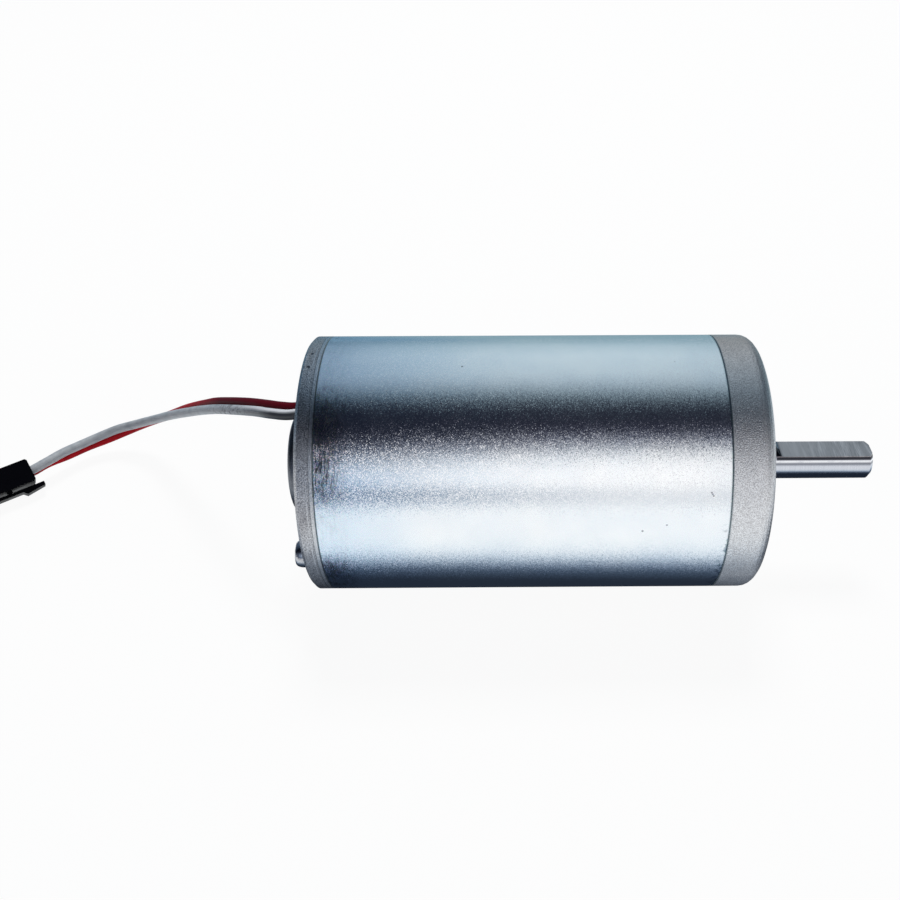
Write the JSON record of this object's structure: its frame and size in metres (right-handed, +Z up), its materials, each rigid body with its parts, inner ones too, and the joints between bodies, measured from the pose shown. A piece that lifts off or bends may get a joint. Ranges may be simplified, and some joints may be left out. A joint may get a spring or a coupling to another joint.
{
  "type": "brushed dc motor",
  "caption": "Round brushed dc motor with plated steel housing, cast end caps, a shaft with a flat, and two leads to a small latching plug.",
  "frame": {"origin": "centre of the front mounting face, on the shaft's axis", "axes": "+X along the shaft, out of the motor; +Z up with the shaft's flat facing up; the motor lies on its side"},
  "size_m": [0.2132, 0.0671, 0.054],
  "materials": {
    "plated_tube": "bluish zinc plating with fine grain and scuffs",
    "front_cast": "blasted die casting",
    "rear_cast": "die casting with pits",
    "shaft_steel": "ground, with a milled flat",
    "bolt_steel": "zinc plated",
    "washer_steel": "dark blue spring steel",
    "bearing_steel": "ground",
    "cage_brass": "pressed",
    "grommet_rubber": "matt",
    "core_steel": "stacked laminations",
    "insulator": "resin",
    "copper": "enamelled or turned copper",
    "phenolic": "moulded",
    "magnet": "sintered ferrite",
    "brass": "pressed",
    "carbon": "pressed carbon",
    "spring_steel": "drawn",
    "lead_red": "extruded insulation",
    "lead_white": "extruded insulation with grime",
    "plug_black": "moulded"
  },
  "bodies": {
    "stator": {"housing_tube": "plated_tube", "front_end_cap": "front_cast", "rear_end_cap": "rear_cast", "through_bolts": "bolt_steel", "bolt_lock_washers": "washer_steel", "lead_grommet": "grommet_rubber", "front_bearing_outer_ring": "bearing_steel", "front_bearing_shields": "bearing_steel", "rear_bearing_outer_ring": "bearing_steel", "rear_bearing_shields": "bearing_steel", "bearing_wave_washer": "spring_steel", "magnets": "magnet", "magnet_clips": "spring_steel", "brush_plate": "phenolic", "plate_screws": "bolt_steel", "brush_holders": "brass", "brush_terminals": "brass", "upper_brush_spring": "spring_steel", "lower_brush_spring": "spring_steel", "upper_pigtail": "copper", "lower_pigtail": "copper", "inner_leads": "lead_white", "lead_red": "lead_red", "lead_white": "lead_white", "connector_housing": "plug_black", "connector_contacts": "brass"},
    "rotor": {"shaft": "shaft_steel", "armature_core": "core_steel", "end_insulators": "insulator", "armature_winding": "copper", "commutator_segments": "copper", "commutator_hub": "phenolic", "front_bearing_inner_ring": "bearing_steel", "rear_bearing_inner_ring": "bearing_steel"},
    "front_ball_set": {"front_bearing_balls": "bearing_steel", "front_bearing_cage": "cage_brass"},
    "rear_ball_set": {"rear_bearing_balls": "bearing_steel", "rear_bearing_cage": "cage_brass"},
    "upper_brush": {"upper_brush": "carbon"},
    "lower_brush": {"lower_brush": "carbon"},
    "latch": {"connector_latch": "plug_black"}
  },
  "joints": [
    {"name": "rotor_spin", "type": "hinge", "parent": "stator", "child": "rotor", "pos_m": [0, 0, 0], "axis": [1, 0, 0], "continuous": true},
    {"name": "front_ball_set_spin", "type": "hinge", "parent": "stator", "child": "front_ball_set", "pos_m": [-0.0055, 0, 0], "axis": [1, 0, 0], "continuous": true},
    {"name": "rear_ball_set_spin", "type": "hinge", "parent": "stator", "child": "rear_ball_set", "pos_m": [-0.0918, 0, 0], "axis": [1, 0, 0], "continuous": true},
    {"name": "upper_brush_slide", "type": "slide", "parent": "stator", "child": "upper_brush", "axis": [0, 0, 1], "range_m": [0, 0.0024], "stiffness_N_per_m": 150, "deforming": ["upper_brush_spring", "upper_pigtail"]},
    {"name": "lower_brush_slide", "type": "slide", "parent": "stator", "child": "lower_brush", "axis": [0, 0, -1], "range_m": [0, 0.0024], "stiffness_N_per_m": 150, "deforming": ["lower_brush_spring", "lower_pigtail"]},
    {"name": "latch_press", "type": "hinge", "parent": "stator", "child": "latch", "pos_m": [-0.17404, 0.0179, -0.0244], "axis": [0.4353, -0.5572, 0.7071], "range_deg": [0, 4], "stiffness_Nm_per_rad": 0.5}
  ],
  "couplings": [
    {"joint": "front_ball_set_spin", "follows": "rotor_spin", "ratio": 0.368},
    {"joint": "rear_ball_set_spin", "follows": "rotor_spin", "ratio": 0.36}
  ]
}
